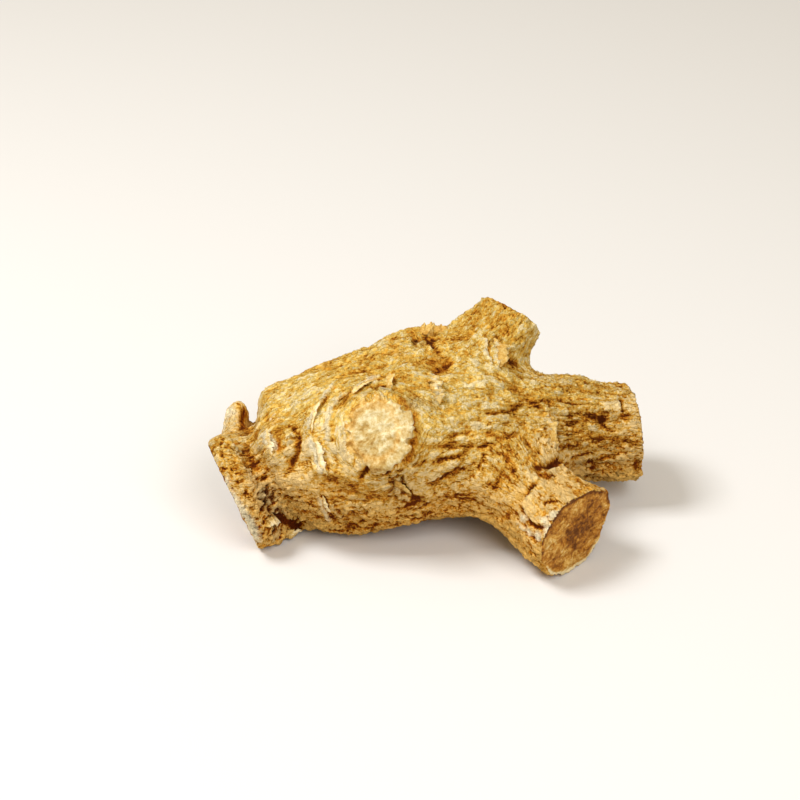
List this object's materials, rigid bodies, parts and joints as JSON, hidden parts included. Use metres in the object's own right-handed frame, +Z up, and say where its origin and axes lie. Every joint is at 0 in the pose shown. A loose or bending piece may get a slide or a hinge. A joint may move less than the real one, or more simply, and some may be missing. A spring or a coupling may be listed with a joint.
{
  "type": "ginseng root",
  "caption": "Plump dried root lying on its side, with wrinkled tan skin, cut legs and tail, a flared crown cut across beside a small bud, and a round pale stump scar.",
  "frame": {"origin": "bottom centre of the bounding box, on the surface that the root lies on", "axes": "+X from the crown to the cut tail, +Z up"},
  "size_m": [0.0682, 0.0424, 0.0308],
  "materials": {
    "dried_root": "matt, powdery dried root skin"
  },
  "bodies": {
    "root": {"ginseng_root": "dried_root"}
  },
  "joints": []
}
